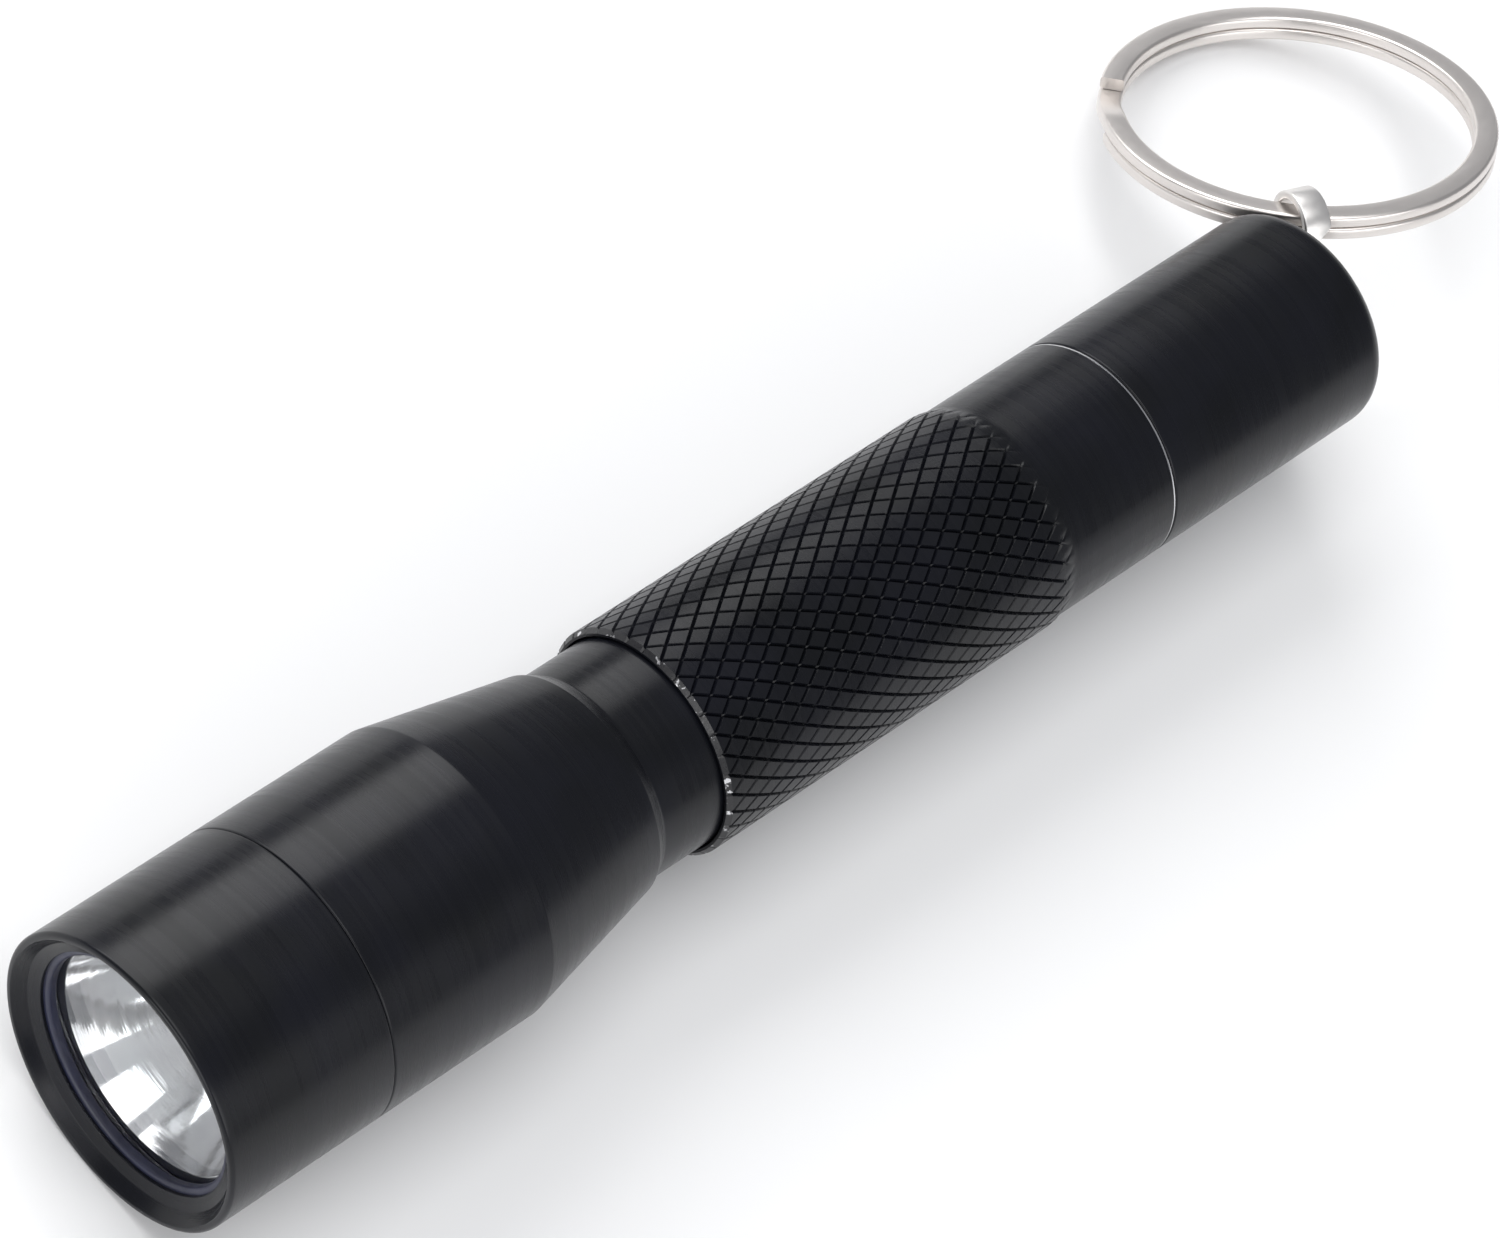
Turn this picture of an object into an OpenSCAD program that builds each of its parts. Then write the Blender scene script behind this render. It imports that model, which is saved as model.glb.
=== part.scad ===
// Keychain flashlight for one AAA cell: twist head, screw-on tail cap, split ring on a swivel eyelet.
// Units are millimetres. The light lies on its side: its axis is +Y, from the middle of the front
// rim at the origin to the tail, and +Z is up.

/* [Head] */
// Diameter of the bezel and of the straight part of the head
head_d = 17.8; // [17.6:0.1:19]
// Length of the bezel ring, up to its seam
bezel_len = 11.2; // [10.5:0.1:11.7]
// Distance from the front rim to the end of the straight part of the head
head_straight_end = 22.4; // [22.4:0.1:23.2]
// Distance from the front rim to the small end of the cone
cone_end = 32.1; // [31.7:0.1:33.2]
// Diameter at the small end of the cone
cone_end_d = 13.8; // [13.4:0.1:14]
// Diameter of the neck behind the cone
neck_d = 12.9; // [12.9:0.02:13]
// Diameter of the clear opening in front of the lens
window_d = 14.5; // [14:0.1:14.8]

/* [Body] */
// Distance from the front rim to the barrel's front lip
barrel_start = 37.2; // [37:0.1:37.4]
// Distance from the front rim to the end of the knurled grip
knurl_end = 64.4; // [58.7:0.1:66.7]
// Distance from the front rim to the seam between barrel and tail cap
tail_seam_y = 72.6; // [72.2:0.1:73.2]
// Distance from the front rim to the flat end of the tail cap
body_len = 90.5; // [90.3:0.1:90.7]
// Diameter over the knurled grip
knurl_d = 14; // [14:0.1:14.6]
// Diameter of the plain part of the barrel and of the tail cap
plain_d = 13.64; // [13.6:0.02:13.9]
// Rounding of the tail cap's far edge
tail_round = 1.2; // [0.6:0.1:1.6]

/* [Cell] */
// Diameter of the AAA cell over its label
cell_d = 10.4; // [10:0.1:10.5]
// Length of the AAA cell over its terminal
cell_len = 44.5; // [44:0.1:44.5]
// Distance from the front rim to the tip of the cell's terminal
cell_tip = 32.7; // [32.69:0.01:32.75]

/* [Key ring] */
// Outer diameter of the split ring
ring_d = 24; // [22:0.5:26]
// Width of the flattened ring wire, measured along the ring's radius
wire_w = 1.45; // [1.2:0.05:1.5]
// Thickness of one turn of the ring wire
wire_t = 0.8; // [0.6:0.05:0.8]
// Angle of the stored ring about the vertical
ring_turn = 131.3; // [129:0.1:133]
// Slope of the stored ring down to the surface the light lies on
ring_dip = 23; // [21:0.1:23]
// Roll of the stored ring about its own slope
ring_roll = -14.7; // [-16:0.1:-13]
// Distance of the eyelet's loop from the light's axis
loop_reach = 4.15; // [4.1:0.01:4.3]
// Distance of the eyelet's loop behind the tail cap's end
loop_height = 3.8; // [3.7:0.01:4]
// Angle of the eyelet about the light's axis, from +X towards +Z
eyelet_turn = 155.6; // [150:0.1:160]

/* [Hidden] */
$fn = 96;
eps = 0.01;

head_r = head_d / 2;
neck_r = neck_d / 2;
knurl_r = knurl_d / 2;
plain_r = plain_d / 2;
fit = 0.05;

// Front of the head: rim, lens pocket and the thread that the bezel screws onto
rim_round = 0.25;
rim_crest_r = head_r - rim_round;
rim_flat = 0.15;
ledge_r = 7.95;
ledge_y = 0.7;
window_r = window_d / 2;
window_y = 1;
pocket_y = 1.2;
pocket_r = 8.05;
seal_t = 0.6;
seal_r = 6.85;
lens_y = pocket_y + seal_t;
lens_t = 1.2;
lens_r = 7.95;
flange_y = lens_y + lens_t;
flange_t = 1.0;
shell_front_y = flange_y + flange_t;
shell_thread_r = 8.25;
bezel_thread_r = 8.28;

// Reflector: a paraboloid behind the lens that ends at the emitter's hole
bowl_front_r = 6.75;
bowl_focus = 1.25;
bowl_depth = bowl_front_r * bowl_front_r / (4 * bowl_focus);
bowl_hole_r = 1.9;
bowl_hole_y = flange_y + bowl_depth - bowl_hole_r * bowl_hole_r / (4 * bowl_focus);
bowl_back_r = 3.2;
bowl_steps = 24;

// Light module behind the reflector
package_w = 3.45;
package_t = 0.65;
package_y = bowl_hole_y + 0.15;
board_y = package_y + package_t;
board_t = 1.6;
board_r = 6.3;
sleeve_r = 7.35;
sleeve_web_y = board_y + board_t;
sleeve_web_t = 1.4;
sleeve_step_y = 22.1;
sleeve_neck_r = 5.6;
driver_t = 1.2;
sleeve_end_y = 29.3;
driver_y = sleeve_end_y - driver_t;
driver_r = 5.0;
cavity_r = 6.4;
cavity_neck_r = 4.5;
wire_r = 0.5;
wire_x = 2.9;
twist_gap = 0.4;
contact_r = 1.6;
contact_y = sleeve_end_y;
contact_len = cell_tip - twist_gap - contact_y;

// Threaded tube of the head inside the barrel
cell_r = cell_d / 2;
tube_bore_r = 5.4;
neck_seat_y = 40.1;
tube_r = 6.0;
tube_end_y = 45.7;
head_groove_y = 38.2;
groove_w = 1;
head_groove_r = 5.72;
head_seal_t = 0.37;

// Barrel: counterbore for the neck, thread bore, cell bore and the threaded tube under the tail cap
mouth_r = neck_r + fit;
mouth_end_y = 40.7;
thread_bore_r = tube_r + 0.06;
thread_end_y = 46.7;
cell_bore_r = 5.35;
tail_tube_r = 6.15;
tail_tube_end = 78.7;
tail_groove_y = 73.7;
tail_groove_w = 0.8;
tail_groove_r = 5.65;
tail_seal_t = 0.25;
lip_round = 0.25;
runout = 0.9;

// Tail cap
seam_gap = 0.02;
cap_bore_r = tail_tube_r + fit;
cap_bore_end = 79.4;
cap_cavity_r = 4.95;
cap_floor_y = 87.1;
rivet_r = 1.2;
plate_t = 0.3;
plate_y = cap_floor_y - plate_t;
washer_t = 0.35;
washer_r = 2.5;
rivet_head_r = 2;
rivet_head_t = 0.6;

// Cell
cell_end_y = cell_tip + cell_len;
nub_r = 1.9;
nub_len = 0.8;
can_y = cell_tip + nub_len;
label_t = 0.1;

// Conical spring between the tail cap and the cell
spring_wire_r = 0.35;
spring_big_r = 4.3;
spring_small_r = 2.4;
spring_turns = 5;
spring_steps = 18;
spring_sides = 8;
spring_gap = 0.03;
spring_y0 = plate_y - spring_wire_r;
spring_y1 = cell_end_y + spring_wire_r + spring_gap;

// Eyelet: a plate that turns on the rivet and a strip loop that holds the split ring
plate_gap = 0.1;
eyelet_t = 0.5;
eyelet_plate_r = 2.7;
eyelet_plate_y = body_len + plate_gap;
rivet_cap_y = eyelet_plate_y + eyelet_t + plate_gap;
loop_r = 1.5;
loop_t = 0.5;
loop_w = 2.2;
loop_pos = [loop_reach * cos(eyelet_turn), body_len + loop_height, loop_reach * sin(eyelet_turn)];

// Split ring: two flat turns, joined where the wire steps from one turn to the other
ring_r = ring_d / 2;
ring_mid_r = ring_r - wire_w / 2;
ring_angles = [ring_roll, ring_dip, ring_turn];
edge_r = 0.2;

// Solid of revolution about the light's axis from [radius, distance from the rim] points
module turned(points) {
    rotate([-90, 0, 0]) rotate_extrude() polygon(points);
}

// Tube about the light's axis between two distances from the rim
module tube(y0, y1, r_out, r_in) {
    turned([[r_in, y0], [r_out, y0], [r_out, y1], [r_in, y1]]);
}

// Plain disc about the light's axis
module disc(y0, y1, r) {
    translate([0, y0, 0]) rotate([-90, 0, 0]) cylinder(r = r, h = y1 - y0);
}

// O-ring about the light's axis
module o_ring(y, r, section_r) {
    translate([0, y, 0]) rotate([-90, 0, 0]) rotate_extrude() translate([r, 0]) circle(r = section_r, $fn = 24);
}

// Frame whose Z axis runs through the eyelet's loop, along the ring's wire
module at_loop() {
    translate(loop_pos) rotate(ring_angles) rotate([90, 0, 0]) children();
}

module bezel_ring() {
    color([0.05, 0.05, 0.06]) rotate([-90, 0, 0]) rotate_extrude() {
        polygon([[bezel_thread_r, bezel_len], [head_r, bezel_len], [head_r, rim_round], [rim_crest_r, 0],
            [rim_crest_r - rim_flat, 0], [ledge_r, ledge_y], [window_r, window_y], [window_r, pocket_y],
            [pocket_r, pocket_y], [pocket_r, shell_front_y], [bezel_thread_r, shell_front_y]]);
        translate([rim_crest_r, rim_round]) intersection() {
            circle(r = rim_round);
            translate([0, -rim_round]) square(rim_round);
        }
    }
}

module lens_seal() {
    color([0.08, 0.10, 0.22]) tube(pocket_y, lens_y, lens_r, seal_r);
}

module lens() {
    color([0.85, 0.9, 0.95]) disc(lens_y, flange_y, lens_r);
}

module reflector() {
    bowl = [for (i = [0:bowl_steps])
        let (r = bowl_front_r + (bowl_hole_r - bowl_front_r) * i / bowl_steps)
        [r, flange_y + bowl_depth - r * r / (4 * bowl_focus)]];
    color([0.9, 0.9, 0.92]) turned(concat(bowl, [[bowl_back_r, bowl_hole_y], [7.3, 5.7], [7.3, shell_front_y],
        [lens_r, shell_front_y], [lens_r, flange_y]]));
}

module led_emitter() {
    dome_r = 1.3;
    color([0.95, 0.9, 0.6]) translate([0, package_y, 0]) intersection() {
        sphere(r = dome_r, $fn = 48);
        translate([-dome_r, -dome_r, -dome_r]) cube([2 * dome_r, dome_r, 2 * dome_r]);
    }
}

module led_package() {
    color("white") translate([-package_w / 2, package_y, -package_w / 2])
        cube([package_w, package_t, package_w]);
}

module led_board() {
    color([0.95, 0.95, 0.95]) disc(board_y, board_y + board_t, board_r);
}

module led_wires() {
    color([0.7, 0.1, 0.1]) for (side = [-1, 1])
        translate([side * wire_x, sleeve_web_y, 0]) rotate([-90, 0, 0])
            cylinder(r = wire_r, h = driver_y - sleeve_web_y, $fn = 24);
}

module module_sleeve() {
    color([0.78, 0.62, 0.3]) difference() {
        union() {
            disc(board_y, sleeve_step_y, sleeve_r);
            disc(sleeve_step_y - eps, sleeve_end_y, sleeve_neck_r);
        }
        disc(board_y - 1, sleeve_web_y, board_r);
        disc(sleeve_web_y + sleeve_web_t, sleeve_step_y - 1, cavity_r);
        disc(sleeve_step_y - 1.1, driver_y + eps, cavity_neck_r);
        disc(driver_y, sleeve_end_y + 1, driver_r);
        for (side = [-1, 1])
            translate([side * wire_x, sleeve_web_y - 1, 0]) rotate([-90, 0, 0]) cylinder(r = 0.7, h = 4, $fn = 32);
    }
}

module driver_board() {
    color([0.1, 0.4, 0.2]) disc(driver_y, sleeve_end_y, driver_r);
}

module driver_chip() {
    color([0.08, 0.08, 0.08]) translate([-1.5, driver_y - 1, 0.9]) cube([3, 1, 2.6]);
}

module driver_inductor() {
    color([0.25, 0.25, 0.27]) translate([0, driver_y - 2.6, -2.1]) rotate([-90, 0, 0])
        cylinder(r = 1.8, h = 2.6, $fn = 48);
}

module driver_capacitors() {
    color([0.75, 0.62, 0.45]) for (x = [-1, 1], z = [0.8, 2])
        translate([x * 2.4 - 0.4, driver_y - 0.8, z - 0.3]) cube([0.8, 0.8, 0.6]);
}

module contact_insulator() {
    color([0.9, 0.9, 0.88]) tube(contact_y, contact_y + contact_len - 0.3, cavity_neck_r, 2.4);
}

module positive_contact() {
    color([0.85, 0.7, 0.35]) disc(contact_y, contact_y + contact_len, contact_r);
}

module head_shell() {
    color([0.05, 0.05, 0.06]) difference() {
        turned([[0, shell_front_y], [shell_thread_r, shell_front_y], [shell_thread_r, bezel_len],
            [head_r, bezel_len], [head_r, head_straight_end], [cone_end_d / 2, cone_end],
            [neck_r, cone_end + 0.8], [neck_r, head_groove_y], [head_groove_r, head_groove_y],
            [head_groove_r, head_groove_y + groove_w], [neck_r, head_groove_y + groove_w],
            [neck_r, neck_seat_y], [tube_r, neck_seat_y], [tube_r, tube_end_y - 0.3],
            [tube_r - 0.3, tube_end_y], [0, tube_end_y]]);
        disc(shell_front_y - 1, sleeve_step_y, sleeve_r + 0.02);
        disc(sleeve_step_y - 1, sleeve_end_y, sleeve_neck_r + 0.02);
        disc(sleeve_end_y - 1, tube_end_y + 1, tube_bore_r);
    }
}

module head_seal() {
    color([0.1, 0.1, 0.1]) o_ring(head_groove_y + groove_w / 2, head_groove_r + head_seal_t + 0.01, head_seal_t);
}

module barrel() {
    color([0.05, 0.05, 0.06]) turned([[mouth_r, barrel_start], [knurl_r - lip_round, barrel_start],
        [knurl_r, barrel_start + lip_round], [knurl_r, knurl_end - runout], [plain_r, knurl_end],
        [plain_r, tail_seam_y - 0.1], [plain_r - 0.1, tail_seam_y], [tail_tube_r, tail_seam_y],
        [tail_tube_r, tail_groove_y], [tail_groove_r, tail_groove_y],
        [tail_groove_r, tail_groove_y + tail_groove_w], [tail_tube_r, tail_groove_y + tail_groove_w],
        [tail_tube_r, tail_tube_end - 0.3], [tail_tube_r - 0.3, tail_tube_end], [cell_bore_r, tail_tube_end],
        [cell_bore_r, thread_end_y], [thread_bore_r, thread_end_y], [thread_bore_r, mouth_end_y],
        [mouth_r, mouth_end_y]]);
}

module cell_can() {
    can_r = cell_r - label_t;
    crimp_y = 1.1;
    color([0.75, 0.75, 0.77]) turned([[0, can_y], [4.6, can_y], [can_r, can_y + crimp_y],
        [can_r, cell_end_y - 0.9], [4.4, cell_end_y - 0.3], [0, cell_end_y - 0.3]]);
}

module cell_label() {
    color([0.55, 0.57, 0.6]) tube(can_y + 1.1, cell_end_y - 0.9, cell_r, cell_r - label_t);
}

module cell_insulator() {
    color([0.2, 0.2, 0.2]) tube(can_y - 0.25, can_y, 4.2, nub_r);
}

module cell_terminal() {
    color([0.8, 0.8, 0.82]) disc(cell_tip, can_y, nub_r);
}

module cell_base() {
    color([0.8, 0.8, 0.82]) disc(cell_end_y - 0.3, cell_end_y, 3.9);
}

module tail_seal() {
    color([0.1, 0.1, 0.1]) o_ring(tail_groove_y + tail_groove_w / 2, tail_groove_r + tail_seal_t + 0.01, tail_seal_t);
}

// Conical coil: one closed ring of wire section for each step along the helix
module tail_spring() {
    n = spring_turns * spring_steps;
    k = spring_sides;
    rings = [for (i = [0:n])
        let (a = 360 * i / spring_steps, u = i / n, r = spring_big_r + (spring_small_r - spring_big_r) * u,
            lift = min(1, max(0, (i - spring_steps * 0.8) / (n - spring_steps * 1.6))),
            y = spring_y0 + (spring_y1 - spring_y0) * lift)
        for (j = [0:k - 1])
            let (b = 360 * j / k, q = r + spring_wire_r * cos(b))
            [q * cos(a), y + spring_wire_r * sin(b), q * sin(a)]];
    sides = [for (i = [0:n - 1], j = [0:k - 1])
        [i * k + j, (i + 1) * k + j, (i + 1) * k + (j + 1) % k, i * k + (j + 1) % k]];
    start = [for (j = [0:k - 1]) j];
    end = [for (j = [k - 1:-1:0]) n * k + j];
    color([0.8, 0.8, 0.82]) polyhedron(points = rings, faces = concat(sides, [start, end]), convexity = 10);
}

module spring_plate() {
    color([0.85, 0.7, 0.35]) tube(plate_y, cap_floor_y, cap_cavity_r - 0.05, 2.9);
}

module tail_cap() {
    color([0.05, 0.05, 0.06]) difference() {
        rotate([-90, 0, 0]) rotate_extrude() {
            polygon([[0, cap_bore_end], [cap_bore_r, cap_bore_end], [cap_bore_r, tail_seam_y + seam_gap],
                [plain_r - 0.12, tail_seam_y + seam_gap], [plain_r, tail_seam_y + seam_gap + 0.12],
                [plain_r, body_len - tail_round], [plain_r - tail_round, body_len], [0, body_len]]);
            translate([plain_r - tail_round, body_len - tail_round]) intersection() {
                circle(r = tail_round);
                square(tail_round);
            }
        }
        disc(cap_bore_end - 1, cap_floor_y, cap_cavity_r);
        disc(cap_floor_y - 1, body_len + 1, rivet_r);
    }
}

module eyelet_rivet() {
    head_y = cap_floor_y - washer_t - rivet_head_t;
    color([0.8, 0.78, 0.75]) {
        disc(head_y, head_y + rivet_head_t, rivet_head_r);
        disc(head_y + rivet_head_t - eps, rivet_cap_y + eps, rivet_r);
        turned([[0, rivet_cap_y], [rivet_head_r, rivet_cap_y], [rivet_head_r, rivet_cap_y + 0.2],
            [1.5, rivet_cap_y + 0.5], [0, rivet_cap_y + 0.6]]);
    }
}

module rivet_washer() {
    color([0.8, 0.8, 0.82]) tube(cap_floor_y - washer_t, cap_floor_y, washer_r, rivet_r);
}

module eyelet() {
    // The neck joins the plate to the side of the loop that faces the cap
    neck_foot = [2.2 * cos(eyelet_turn), eyelet_plate_y + eyelet_t / 2, 2.2 * sin(eyelet_turn)];
    color([0.76, 0.73, 0.7]) difference() {
        union() {
            disc(eyelet_plate_y, eyelet_plate_y + eyelet_t, eyelet_plate_r);
            at_loop() cylinder(r = loop_r + loop_t, h = loop_w, center = true, $fn = 64);
            hull() {
                at_loop() translate([-loop_r - loop_t / 2, -0.6, 0]) cylinder(r = 0.25, h = loop_w, center = true, $fn = 16);
                at_loop() translate([-loop_r - loop_t / 2, 0.2, 0]) cylinder(r = 0.25, h = loop_w, center = true, $fn = 16);
                translate(neck_foot) rotate([0, -eyelet_turn, 0]) cube([0.8, eyelet_t, 3], center = true);
            }
        }
        at_loop() cylinder(r = loop_r, h = loop_w + 4, center = true, $fn = 64);
        disc(eyelet_plate_y - 1, rivet_cap_y + 1, rivet_r + 0.06);
        disc(eyelet_plate_y + eyelet_t, rivet_cap_y + 3, rivet_head_r + 0.15);
    }
}

// One flat turn of the ring wire with rounded edges, between two heights
module ring_turn_of_wire(z0) {
    rotate_extrude($fn = 160) {
        translate([ring_mid_r - wire_w / 2 + edge_r, z0]) square([wire_w - 2 * edge_r, wire_t]);
        translate([ring_mid_r - wire_w / 2, z0 + edge_r]) square([wire_w, wire_t - 2 * edge_r]);
        for (side = [-1, 1], up = [0, 1])
            translate([ring_mid_r + side * (wire_w / 2 - edge_r), z0 + edge_r + up * (wire_t - 2 * edge_r)])
                circle(r = edge_r, $fn = 16);
    }
}

module split_ring() {
    color([0.78, 0.75, 0.72]) translate(loop_pos) rotate(ring_angles) translate([ring_mid_r, 0, 0]) {
        ring_turn_of_wire(-wire_t);
        ring_turn_of_wire(0);
    }
}

bezel_ring();
lens_seal();
lens();
reflector();
led_emitter();
led_package();
led_board();
led_wires();
module_sleeve();
driver_board();
driver_chip();
driver_inductor();
driver_capacitors();
contact_insulator();
positive_contact();
head_shell();
head_seal();
barrel();
cell_can();
cell_label();
cell_insulator();
cell_terminal();
cell_base();
tail_seal();
tail_spring();
spring_plate();
tail_cap();
eyelet_rivet();
rivet_washer();
eyelet();
split_ring();
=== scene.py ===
"""Looks of the keychain flashlight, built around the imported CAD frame.

Lengths are in millimetres until a mesh is made, then in metres. The light lies on its side with its axis
along +Y, from the front rim at the origin to the tail, and +Z is up.
"""

import math

import bmesh
import bpy
from mathutils import Matrix, Vector


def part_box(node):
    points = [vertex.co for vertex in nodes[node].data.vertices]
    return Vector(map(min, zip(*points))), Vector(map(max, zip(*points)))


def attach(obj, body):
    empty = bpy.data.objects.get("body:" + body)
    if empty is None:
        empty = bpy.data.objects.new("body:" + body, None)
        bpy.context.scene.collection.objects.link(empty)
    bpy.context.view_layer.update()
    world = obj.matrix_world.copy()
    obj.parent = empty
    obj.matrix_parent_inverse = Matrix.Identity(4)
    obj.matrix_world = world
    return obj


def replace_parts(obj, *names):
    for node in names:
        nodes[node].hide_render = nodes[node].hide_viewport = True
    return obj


MM = 0.001

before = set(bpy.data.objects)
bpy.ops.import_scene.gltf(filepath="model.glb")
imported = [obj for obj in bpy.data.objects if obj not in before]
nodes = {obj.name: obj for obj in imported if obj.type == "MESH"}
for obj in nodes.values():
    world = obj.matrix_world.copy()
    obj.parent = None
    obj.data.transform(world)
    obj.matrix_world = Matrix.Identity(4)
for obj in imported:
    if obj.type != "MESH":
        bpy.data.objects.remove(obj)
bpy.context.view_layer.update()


def reach(node):
    """(radius, first y, last y) in millimetres of a turned CAD node, read from its box."""
    low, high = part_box(node)
    return high.x / MM, low.y / MM, high.y / MM


# Dimensions that the CAD frame gives
HEAD_R, RIM_Y, BEZEL_Y = reach("bezel_ring")
SEAL_R, SEAL_Y, LENS_Y = reach("lens_seal")
LENS_R, _, FLANGE_Y = reach("lens")
_, SHELL_Y, TUBE_END = reach("head_shell")
KNURL_R, LIP_Y, TAIL_TUBE_END = reach("barrel")
PLAIN_R, CAP_Y, BODY_END = reach("tail_cap")
BOARD_Y = reach("led_board")[1]
SLEEVE_R = reach("module_sleeve")[0]
FLOOR_Z = -HEAD_R

# Front of the head
RIM_ROUND = 0.25
RIM_FLAT = 0.15
LEDGE_R = 7.95
LEDGE_Y = 0.7
WINDOW_R = 7.25
WINDOW_Y = 1.0
POCKET_R = 8.05
BEZEL_THREAD_R = 8.28
SEAL_BORE_R = 6.85
EDGE = 0.12

# Reflector
BOWL_R = 6.75
BOWL_FOCUS = 1.25
BOWL_DEPTH = BOWL_R * BOWL_R / (4 * BOWL_FOCUS)
BOWL_HOLE_R = 1.9
BOWL_STEPS = 48
BOWL_BACK_R = 3.2
REFLECTOR_R = 7.3
REFLECTOR_SHOULDER = 5.7

# Emitter
PACKAGE_W = 3.45
PACKAGE_T = 0.65
PACKAGE_Y = BOARD_Y - PACKAGE_T
DOME_R = 1.3
PHOSPHOR_W = 1.35
PHOSPHOR_T = 0.06

# Head shell
STRAIGHT_END = 22.4
CONE_END = 32.1
CONE_END_R = 6.9
NECK_R = 6.45
NECK_START = CONE_END + 0.8
SHELL_THREAD_R = 8.25
HEAD_GROOVE = (38.2, 39.2, 5.72)
NECK_SEAT = 40.1
TUBE_R = 6.0
TUBE_BORE = 5.4
SLEEVE_STEP = 22.1
SLEEVE_NECK_R = 5.62
SLEEVE_END = 29.3

# Barrel
KNURL_END = 64.4
RUNOUT = 0.9
MOUTH_R = 6.5
MOUTH_END = 40.7
THREAD_BORE = 6.06
THREAD_END = 46.7
CELL_BORE = 5.35
SEAM_Y = 72.6
TAIL_TUBE_R = 6.15
TAIL_GROOVE = (73.7, 74.5, 5.65)
LIP_ROUND = 0.25
THREAD_PITCH = 0.75

# Tail cap
CAP_BORE = 6.2
CAP_BORE_END = 79.4
CAVITY_R = 4.95
CAP_FLOOR = 87.1
TAIL_ROUND = 1.2
RIVET_R = 1.2
RIVET_HEAD_R = 2.0
RIVET_HEAD_T = 0.6
WASHER_T = 0.35

# Knurl: this many grooves lean each way, and the pattern has this many half diamonds along the grip
KNURL_STARTS = 35
KNURL_HALVES = 28
GROOVE_SHARE = 0.1
GROOVE_DEPTH = 0.19
KNURL_FADE = 1.8

# Spring and cell
SPRING_WIRE_R = 0.35
SPRING_BIG_R = 4.3
SPRING_SMALL_R = 2.4
SPRING_TURNS = 5
BAND_END = 46.7

# Eyelet and split ring
EYELET_TURN = math.radians(155.6)
LOOP_REACH = 4.15
LOOP_Y = BODY_END + 3.8
LOOP_POS = Vector((LOOP_REACH * math.cos(EYELET_TURN), LOOP_Y, LOOP_REACH * math.sin(EYELET_TURN)))
LOOP_MID_R = 1.75
LOOP_YAW = math.radians(26)
LOOP_SHIFT = 0.6
FOOT_R = 2.25
FOOT_GAP = 0.3
STRIP_T = 0.5
STRIP_W = 1.75
PLATE_GAP = 0.1
PLATE_Y = BODY_END + PLATE_GAP
PLATE_R = 2.7
RING_R = 12.0
WIRE_W = 1.45
WIRE_T = 0.8
RING_MID_R = RING_R - WIRE_W / 2
RING_TILT = (math.radians(-14.7), math.radians(23.0), math.radians(131.3))

# Camera: focal length, place, and the directions that are right and up in its picture
CAMERA_LENS = 168.0
CAMERA_PLACE = (76.402, -156.27, 316.982)
CAMERA_RIGHT = (0.63463, 0.712, 0.3005)
CAMERA_UP = (-0.74517, 0.4607, 0.48216)


# Mesh building

class Shell:
    """Points in millimetres and faces of one piece while it is made."""

    def __init__(self):
        self.points = []
        self.faces = []

    def ring(self, points):
        """Adds a loop of points and gives their numbers."""
        start = len(self.points)
        self.points.extend(points)
        return list(range(start, len(self.points)))

    def bridge(self, one, two):
        """Joins two closed loops of the same length with four-sided faces."""
        for i in range(len(one)):
            j = (i + 1) % len(one)
            self.faces.append((one[i], one[j], two[j], two[i]))

    def build(self, name, body, slot, *materials, sharp=32):
        """Makes the object, smooth up to the sharp angle in degrees, and fixes it to its CAD body."""
        mesh = bpy.data.meshes.new(name)
        mesh.from_pydata([Vector(p) * MM for p in self.points], [], self.faces)
        work = bmesh.new()
        work.from_mesh(mesh)
        bmesh.ops.remove_doubles(work, verts=work.verts, dist=0.002 * MM)
        bmesh.ops.recalc_face_normals(work, faces=work.faces)
        work.to_mesh(mesh)
        work.free()
        mesh.polygons.foreach_set("use_smooth", [True] * len(mesh.polygons))
        mesh.set_sharp_from_angle(angle=math.radians(sharp))
        piece = bpy.data.objects.new(name, mesh)
        bpy.context.scene.collection.objects.link(piece)
        for material in materials:
            mesh.materials.append(material)
        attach(piece, body)
        return piece


def even_angles(count):
    return [2 * math.pi * i / count for i in range(count)]


def turn_point(radius, y, angle):
    return (radius * math.cos(angle), y, radius * math.sin(angle))


def row_points(row, angles):
    """A profile row is (radius, y), and its radius may be a function of the angle."""
    radius, y = row
    if callable(radius):
        return [turn_point(radius(a), y, a) for a in angles]
    return [turn_point(radius, y, a) for a in angles]


def lathe(shell, rows, angles, closed=True):
    """Turns profile rows about the light's axis and gives the first and last loop."""
    loops = [shell.ring(row_points(row, angles)) for row in rows]
    for one, two in zip(loops, loops[1:]):
        shell.bridge(one, two)
    if closed:
        shell.bridge(loops[-1], loops[0])
    return loops[0], loops[-1]


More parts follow.
